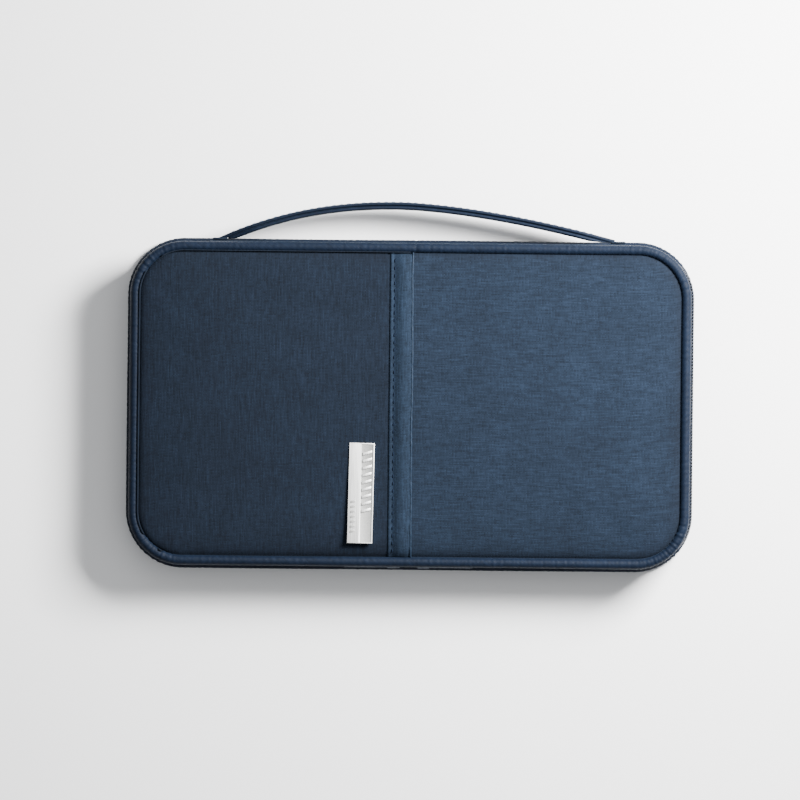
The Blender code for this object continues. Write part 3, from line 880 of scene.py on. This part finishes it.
def zip_tape(side, way, root_inset, root_z, body):
    """Tape sewn in behind the piping, curving in to the coil."""
    points, normals, distances, _ = rail(0, 1.6 * MM, ends=ZIP_ENDS)
    out = belly(points, normals)
    shape = ((1.0, 0.0, 0.0), (2.6, 1.1, 0.15), (4.1, 2.6, 0.5), (4.9, 4.6, 0.85), (5.0, 7.4, 1.0))
    outer = [
        (root_inset - 2.4 * MM + inset * MM, root_z + way * up * MM, share) for inset, up, share in shape
    ]
    outer[-1] = (4.9 * MM, MIDDLE_Z - way * 0.9 * MM, 1.0)
    inner = [(inset + 0.5 * MM, z, share) for inset, z, share in reversed(outer)]
    loop = outer + inner
    profile = np.array([[(-inset + bulge * share, z) for inset, z, share in loop] for bulge in out])
    obj = sweep(f"{side}_tape", points, normals, distances, profile)
    return finish_piece(obj, tape_cloth, body, [f"{side}_zip_tape"], 60)


def zip_coil(side, way, body):
    """Turns of one long nylon spring, each pressed flat, that mesh with those of the other side."""
    deselect()
    bpy.ops.mesh.primitive_torus_add(
        major_segments=12, minor_segments=5, major_radius=1.0, minor_radius=0.34,
        rotation=(math.pi / 2, 0, 0),
    )
    turn = bpy.context.object
    settle(turn)
    tooth = np.array([v.co for v in turn.data.vertices])
    faces = [tuple(p.vertices) for p in turn.data.polygons]
    bpy.data.objects.remove(turn, do_unlink=True)
    tooth *= (0.62 * MM, 1.0 * MM, 1.22 * MM)
    tooth[:, 1] += 0.22 * tooth[:, 2]
    pitch = 1.28 * MM
    points, normals, distances, _ = rail(0, pitch, ends=ZIP_ENDS)
    out = belly(points, normals)
    middle = MIDDLE_Z - way * 1.15 * MM
    places, all_faces = [], []
    for number in range(len(points) - 1):
        late = 0.5 * (way < 0)
        point = points[number] * (1 - late) + points[number + 1] * late
        normal = normals[number]
        along = np.array((-normal[1], normal[0]))
        foot = point + normal * (out[number] - COIL_INSET)
        turned = foot + tooth[:, :1] * normal + tooth[:, 1:2] * along
        places.append(np.column_stack([turned, tooth[:, 2] + middle]))
        all_faces += [tuple(index + number * len(tooth) for index in face) for face in faces]
    obj = mesh_object(f"{side}_coil", np.concatenate(places), all_faces)
    return finish_piece(obj, coil_nylon, body, [f"{side}_zip_teeth"], 180)


zip_tape("back", 1, 2.4 * MM, BACK_PIPING_Z + 1.4 * MM, "back_shell")
zip_tape("front", -1, 3.6 * MM, FRONT_PIPING_Z - 1.4 * MM, "front_cover")
zip_coil("back", 1, "back_shell")
zip_coil("front", -1, "front_cover")


# ---------------------------------------------------------------- spine
def slab(name, low, high, bevel, material, body, nodes):
    """A cloth-covered board with softly rounded edges."""
    deselect()
    center = [(a + b) / 2 for a, b in zip(low, high)]
    bpy.ops.mesh.primitive_cube_add(size=1, location=center)
    obj = bpy.context.object
    obj.name = name
    obj.data.name = name
    obj.scale = [b - a for a, b in zip(low, high)]
    settle(obj)
    modifier = obj.modifiers.new("soft edge", "BEVEL")
    modifier.width = bevel
    modifier.segments = 4
    apply_modifiers(obj)
    return finish_piece(obj, material, body, nodes)


spine_low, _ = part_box("spine_board")
_, spine_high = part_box("spine_panel")
spine_back = slab(
    "spine_back", spine_low, spine_high, 0.5 * MM, field_cloth, "spine", ["spine_panel", "spine_board"],
)
lining_low, lining_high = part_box("spine_lining")
slab(
    "spine_inner", lining_low, lining_high, 0.2 * MM, lining_cloth, "spine", ["spine_lining"],
)


# ---------------------------------------------------------------- linings and inner pockets
def lining(side, step, shift, body):
    low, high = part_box(f"{side}_lining")
    inset = step + 2 * PIPING - 0.2 * MM
    half_x, half_y, radius = HALF_X - inset, HALF_Y - inset, CORNER - inset
    middle = (low[2] + high[2]) / 2
    obj = soft_sheet(
        f"{side}_inner", (shift[0] - half_x, shift[1] - half_y), (shift[0] + half_x, shift[1] + half_y),
        (radius,) * 4, 4 * MM, lambda x, y: middle + 0.25 * MM, 0.5 * MM,
    )
    finish_piece(obj, lining_cloth, body, [f"{side}_lining"], 60)


lining("back", 0, (0, 0), "back_shell")
lining("front", FRONT_STEP, FRONT_SHIFT, "front_cover")


def inner_pocket(cad_node, body, facing, corner_radius):
    """A flat pocket with a bound mouth at its +X edge. facing is the side that it is seen from."""
    low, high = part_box(cad_node)
    middle = (low[2] + high[2]) / 2
    thick = 0.45 * MM

    def height(x, y):
        from_mouth = (high[0] - x) / (30 * MM)
        middle_y = (low[1] + high[1]) / 2
        spread = 1 - ((y - middle_y) / (high[1] - low[1]) * 2) ** 2
        return middle + thick / 2 + facing * 0.22 * MM * math.exp(-from_mouth) * spread

    obj = soft_sheet(f"{cad_node}_cloth", low, high, (corner_radius, 0, 0, 0), 4 * MM, height, thick)
    finish_piece(obj, pocket_lining, body, [cad_node], 60)
    ys = np.linspace(low[1], high[1], 60)
    sides = np.arange(12) * math.tau / 12
    points = np.stack([np.full(len(ys), high[0] - 1.0 * MM), ys], axis=1)
    normals = np.tile((1.0, 0.0), (len(ys), 1))
    profile = np.empty((len(ys), len(sides), 2))
    for row, y in enumerate(ys):
        center_z = height(high[0], y) - thick / 2
        profile[row, :, 0] = 1.3 * MM * np.cos(sides)
        profile[row, :, 1] = center_z + 0.42 * MM * np.sin(sides)
    hem = sweep(f"{cad_node}_binding", points, normals, ys - ys[0], profile)
    finish_piece(hem, piping_cloth, body, angle=180)
    rows = np.arange(low[1] + 3 * MM, high[1] - 2 * MM, STITCH)
    seam_x = high[0] - 2.9 * MM
    places = []
    for y in rows:
        seam_z = height(seam_x, y) - thick / 2 + facing * (thick / 2 + 0.02 * MM)
        places.append(((seam_x, y, seam_z), (0, 1, 0), (0, 0, facing)))
    stitches(f"{cad_node}_stitches", places, pale_thread, body, thick=0.3 * MM)


inner_pocket("document_pocket", "back_shell", 1, 13.2 * MM)
inner_pocket("passport_pocket", "back_shell", 1, 7.2 * MM)
inner_pocket("ticket_pocket", "front_cover", -1, 13.2 * MM)
for number in range(1, 5):
    inner_pocket(f"card_slot_{number}", "front_cover", -1, 0)


def pen_loop():
    """A loop of ribbed elastic sewn to the spine's lining."""
    low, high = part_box("pen_loop")
    center_y, center_z = (low[1] + high[1]) / 2, (low[2] + high[2]) / 2
    deselect()
    bpy.ops.mesh.primitive_cylinder_add(
        vertices=48, radius=5.9 * MM, depth=high[0] - low[0], end_fill_type="NOTHING",
        location=((low[0] + high[0]) / 2, center_y, center_z), rotation=(0, math.pi / 2, 0),
    )
    obj = bpy.context.object
    obj.name = "pen_loop_elastic"
    settle(obj)
    bpy.ops.object.mode_set(mode="EDIT")
    bpy.ops.mesh.select_all(action="SELECT")
    bpy.ops.mesh.subdivide(number_cuts=1)
    bpy.ops.object.mode_set(mode="OBJECT")
    solid = obj.modifiers.new("elastic", "SOLIDIFY")
    solid.thickness = 0.9 * MM
    solid.offset = 0
    apply_modifiers(obj)
    finish_piece(obj, pocket_lining, "spine", ["pen_loop"], 60)


pen_loop()


# ---------------------------------------------------------------- handle
def strap_layer(name, cad_node, low, high):
    """One layer of the carrying strap, arched over the spine.

    Its ends are skived on the inner side, to clear the spine when the strap sways. Only the outer
    layer reaches into the tabs.
    """
    root_left, root_right = SPINE_LEFT + 6.9 * MM, SPINE_RIGHT - 7.3 * MM
    peak_x, rise, base = -5.7 * MM, 13.8 * MM, HALF_Y - 0.1 * MM
    outer = high > 1 * MM
    start, end = root_left - 3.2 * MM, root_right + 2.4 * MM
    xs = np.linspace(root_left + 0.7 * MM, root_right + 0.8 * MM, 150)
    if outer:
        xs = np.linspace(start, end, 150)
    left_share = (peak_x - xs) / (peak_x - root_left)
    share = np.where(xs < peak_x, left_share, (xs - peak_x) / (root_right - peak_x))
    power = np.where(xs < peak_x, 2.2, 1.6)
    ys = base + rise * (1 - np.abs(share) ** power)
    slope = np.gradient(ys, xs)
    length = np.hypot(1, slope)
    points = np.column_stack([xs, ys])
    normals = np.column_stack([-slope / length, 1 / length])
    distances = np.r_[0, np.cumsum(np.hypot(np.diff(xs), np.diff(ys)))]
    from_end = np.minimum(xs - start, end - xs)
    half = np.minimum(6.0 * MM, 1.8 * MM + from_end * 0.30)
    middle = (low + high) / 2
    thick = (high - low) / 2
    corners = []
    for angle in np.arange(24) * math.tau / 24:
        c, s = math.cos(angle), math.sin(angle)
        corners.append((math.copysign(abs(c) ** 0.55, c), math.copysign(abs(s) ** 0.35, s)))
    corners = np.array(corners)
    profile = np.empty((len(xs), len(corners), 2))
    skived = (HALF_Y - 1.0 * MM + half * math.sin(STRAP_SWAY) - ys) / normals[:, 1]
    thinnest = 0.3 * MM * outer + 0.15 * MM * (corners[None, :, 0] + 1)
    profile[..., 0] = np.maximum(middle + corners[None, :, 0] * thick, skived[:, None] + thinnest)
    profile[..., 1] = MIDDLE_Z + corners[None, :, 1] * half[:, None]
    obj = sweep(name, points, normals, distances, profile)
    finish_piece(obj, strap_cloth, "handle", [cad_node], 180)
    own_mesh(obj)
    if outer:
        sewn = np.arange(7 * MM, distances[-1] - 7 * MM, STITCH)
        places = []
        for edge in (-1, 1):
            for run in sewn:
                x, y = (np.interp(run, distances, points[:, axis]) for axis in (0, 1))
                nx, ny = (np.interp(run, distances, normals[:, axis]) for axis in (0, 1))
                inward = np.interp(run, distances, half) - 1.3 * MM
                place = (x + nx * high, y + ny * high, MIDDLE_Z + edge * inward)
                places.append((place, (ny, -nx, 0), (nx, ny, 0)))
        rows = stitches(f"{name}_stitches", places, pale_thread, "handle", thick=0.30 * MM)
        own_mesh(rows)
    return obj


strap_layer("strap_inner_layer", "handle_inner_strip", -1.55 * MM, 0.04 * MM)
strap_layer("strap_outer_layer", "handle_outer_strip", -0.04 * MM, 1.55 * MM)
for side in ("left", "right"):
    low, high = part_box(f"handle_anchor_{side}")
    slab(
        f"strap_tab_{side}", low, high, 0.35 * MM, pocket_cloth, "spine", [f"handle_anchor_{side}"],
    )
    outer_x = low[0] + 0.9 * MM if side == "left" else high[0] - 0.9 * MM
    places = [
        ((outer_x, high[1] + 0.02 * MM, z), (0, 0, 1), (0, 1, 0))
        for z in np.linspace(low[2] + 1.6 * MM, high[2] - 1.6 * MM, 5)
    ]
    stitches(f"strap_tab_stitches_{side}", places, pale_thread, "spine", length=1.9 * MM, thick=0.30 * MM)


# ---------------------------------------------------------------- sliders and pulls
def slider(side, way):
    """Cast body: two shield-shaped plates joined at the nose, with an arched bridge for the pull."""
    low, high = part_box(f"slider_{side}")
    middle_x = (low[0] + high[0]) / 2
    y = low[1]
    tail = high[0] if way > 0 else low[0]
    nose = low[0] if way > 0 else high[0]
    plates = []
    for y_low, y_high, wrap in ((y + 1.9 * MM, y + 2.9 * MM, 1), (y + 6.0 * MM, high[1], -1)):
        plate = block((low[0], y_low, low[2]), (high[0], y_high, high[2]))
        select_faces(plate, lambda center, normal: True)
        bpy.ops.mesh.subdivide(number_cuts=3)
        bpy.ops.object.mode_set(mode="OBJECT")
        for vertex in plate.data.vertices:
            back = abs(vertex.co.x - nose) / abs(tail - nose)
            flare = 1 - 0.30 * max(0, back - 0.35) / 0.65 - 0.10 * max(0, 0.2 - back) / 0.2
            vertex.co.z = MIDDLE_Z + (vertex.co.z - MIDDLE_Z) * flare
        select_faces(
            plate,
            lambda center, normal: normal.y * wrap > 0.9 and abs(center.z - MIDDLE_Z) > 2.4 * MM,
        )
        bpy.ops.mesh.extrude_region_move(TRANSFORM_OT_translate={"value": (0, wrap * 0.7 * MM, 0)})
        bpy.ops.object.mode_set(mode="OBJECT")
        plates.append(bevelled(plate, 0.22 * MM, 3))
    post = block(
        (min(nose, nose + way * 3 * MM), y + 2.5 * MM, MIDDLE_Z - 0.3 * MM),
        (max(nose, nose + way * 3 * MM), y + 6.4 * MM, MIDDLE_Z + 0.3 * MM),
    )
    leg_low = (middle_x - 2.45 * MM, y + 1.35 * MM, MIDDLE_Z - 0.9 * MM)
    bridge = block(leg_low, (middle_x - 1.6 * MM, y + 2.3 * MM, MIDDLE_Z + 0.9 * MM))
    select_faces(bridge, lambda center, normal: normal.y < -0.9)
    bpy.ops.mesh.extrude_region_move(TRANSFORM_OT_translate={"value": (0, -0.60 * MM, 0)})
    select_faces(bridge, lambda center, normal: normal.x > 0.9 and center.y < y + 1.35 * MM)
    bpy.ops.mesh.extrude_region_move(TRANSFORM_OT_translate={"value": (3.2 * MM, 0, 0)})
    bpy.ops.mesh.extrude_region_move(TRANSFORM_OT_translate={"value": (0.85 * MM, 0, 0)})
    select_faces(bridge, lambda center, normal: normal.y > 0.9 and center.x > middle_x + 1.6 * MM)
    bpy.ops.mesh.extrude_region_move(TRANSFORM_OT_translate={"value": (0, 0.95 * MM, 0)})
    bpy.ops.object.mode_set(mode="OBJECT")
    bevelled(bridge, 0.25 * MM, 4)
    obj = joined(f"slider_body_{side}", [*plates, bevelled(post, 0.1 * MM, 2), bridge])
    finish_piece(obj, slider_metal, f"{side}_slider", [f"slider_{side}"], 30)


def pull(side, way):
    """A flat tab with an eye for the bridge, a rounded tip and a sunk panel on its face."""
    low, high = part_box(f"pull_{side}")
    hinge = low[0] if way > 0 else high[0]
    rows = np.array((-2.5, -1.35, 1.35, 2.5)) * MM
    columns = np.array((0, 0.75, 3.4, 5.0, 12.0, 19.0, 20.3)) * MM
    deselect()
    bpy.ops.mesh.primitive_grid_add(x_subdivisions=6, y_subdivisions=3, size=1)
    obj = bpy.context.object
    for vertex in obj.data.vertices:
        column = columns[round((vertex.co.x + 0.5) * 6)]
        row = rows[round((vertex.co.y + 0.5) * 3)]
        waist = 1 - 0.16 * math.exp(-(((column - 5.5 * MM) / (2.5 * MM)) ** 2))
        vertex.co = (hinge + way * column, low[1], MIDDLE_Z + row * waist)
    select_faces(
        obj,
        lambda center, normal: 1 * MM < abs(center.x - hinge) < 3 * MM
        and abs(center.z - MIDDLE_Z) < 1 * MM,
    )
    bpy.ops.mesh.delete(type="FACE")
    bpy.ops.mesh.select_mode(type="VERT")
    bpy.ops.mesh.select_all(action="DESELECT")
    bpy.ops.object.mode_set(mode="OBJECT")
    for vertex in obj.data.vertices:
        at_tip = abs(abs(vertex.co.x - hinge) - 20.3 * MM) < 0.1 * MM
        vertex.select = at_tip and abs(vertex.co.z - MIDDLE_Z) > 2.2 * MM
    bpy.ops.object.mode_set(mode="EDIT")
    bpy.ops.mesh.bevel(offset=1.2 * MM, segments=5, affect="VERTICES")
    bpy.ops.mesh.select_mode(type="FACE")
    bpy.ops.mesh.select_all(action="SELECT")
    bpy.ops.mesh.extrude_region_move(TRANSFORM_OT_translate={"value": (0, high[1] - low[1], 0)})
    bpy.ops.mesh.select_all(action="SELECT")
    bpy.ops.mesh.normals_make_consistent(inside=False)
    select_faces(
        obj,
        lambda center, normal: normal.y < -0.9
        and 5 * MM < abs(center.x - hinge) < 19 * MM
        and abs(center.z - MIDDLE_Z) < 1 * MM,
    )
    bpy.ops.mesh.inset(thickness=0.25 * MM, depth=-0.12 * MM)
    bpy.ops.object.mode_set(mode="OBJECT")
    bevelled(obj, 0.12 * MM, 3)
    obj.name = f"pull_tab_{side}"
    obj.data.name = obj.name
    finish_piece(obj, slider_metal, f"{side}_pull", [f"pull_{side}"], 30)


for side, way in (("right", 1), ("left", -1)):
    slider(side, way)
    pull(side, way)


# ---------------------------------------------------------------- fabric hinges
def fabric_hinge(name, hinge_z):
    """A narrow strip of lining that joins a leaf to the spine, along the joint's line."""
    y = HALF_Y - 3.4 * MM
    zs = hinge_z + np.linspace(-0.55, 0.55, 7) * MM
    outer = [(0.0, z) for z in zs]
    inner = [(-0.5 * MM, z) for z in zs[::-1]]
    xs = np.linspace(SPINE_LEFT, SPINE_RIGHT, 60)
    points = np.column_stack([xs, np.full(len(xs), y)])
    normals = np.tile((0.0, 1.0), (len(xs), 1))
    obj = sweep(name, points, normals, xs - xs[0], outer + inner)
    smooth(obj, 60)
    obj.data.materials.clear()
    obj.data.materials.append(lining_cloth)
    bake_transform(obj)


fabric_hinge("back_hinge_strip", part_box("back_lining")[1][2] + 0.15 * MM)
fabric_hinge("front_hinge_strip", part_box("front_lining")[0][2] - 0.15 * MM)


# ---------------------------------------------------------------- stage, light and camera
def studio():
    """A pale floor, a small key light from the upper right and a broad soft one from above."""
    deselect()
    bpy.ops.mesh.primitive_plane_add(size=6, location=(0, 0, 0))
    floor = bpy.context.object
    floor.name = "studio_floor"
    # Matt white emulsion on board: even all over.
    board, _, _ = new_material("painted board", 0.9, Base_Color=linear("F2F2F2"))
    floor.data.materials.append(board)
    world = bpy.data.worlds.new("studio") if not bpy.context.scene.world else bpy.context.scene.world
    bpy.context.scene.world = world
    world.use_nodes = True
    world.node_tree.nodes["Background"].inputs["Color"].default_value = (0.93, 0.96, 1.0, 1)
    world.node_tree.nodes["Background"].inputs["Strength"].default_value = 0.36
    lamps = (
        ("key", (0.35, 0.25, 0.38), 0.22, 23.0),
        ("top", (0.05, 0.15, 1.20), 1.0, 5.0),
    )
    for name, place, size, power in lamps:
        deselect()
        bpy.ops.object.light_add(type="AREA", location=place)
        lamp = bpy.context.object
        lamp.name = name
        lamp.data.size = size
        lamp.data.energy = power
        lamp.rotation_euler = Vector(place).to_track_quat("Z", "Y").to_euler()


def camera():
    """A long lens straight above the case."""
    distance = 5.0
    seen = 325.1 * MM
    data = bpy.data.cameras.new("view")
    data.sensor_width = 36
    data.lens = data.sensor_width * (distance - BACK_PIPING_Z) / seen
    data.clip_end = 20
    obj = bpy.data.objects.new("view", data)
    bpy.context.scene.collection.objects.link(obj)
    obj.location = (-4.06 * MM, 2.03 * MM, distance)
    obj.rotation_euler = (0, 0, math.radians(0.6))
    bpy.context.scene.camera = obj


studio()
camera()
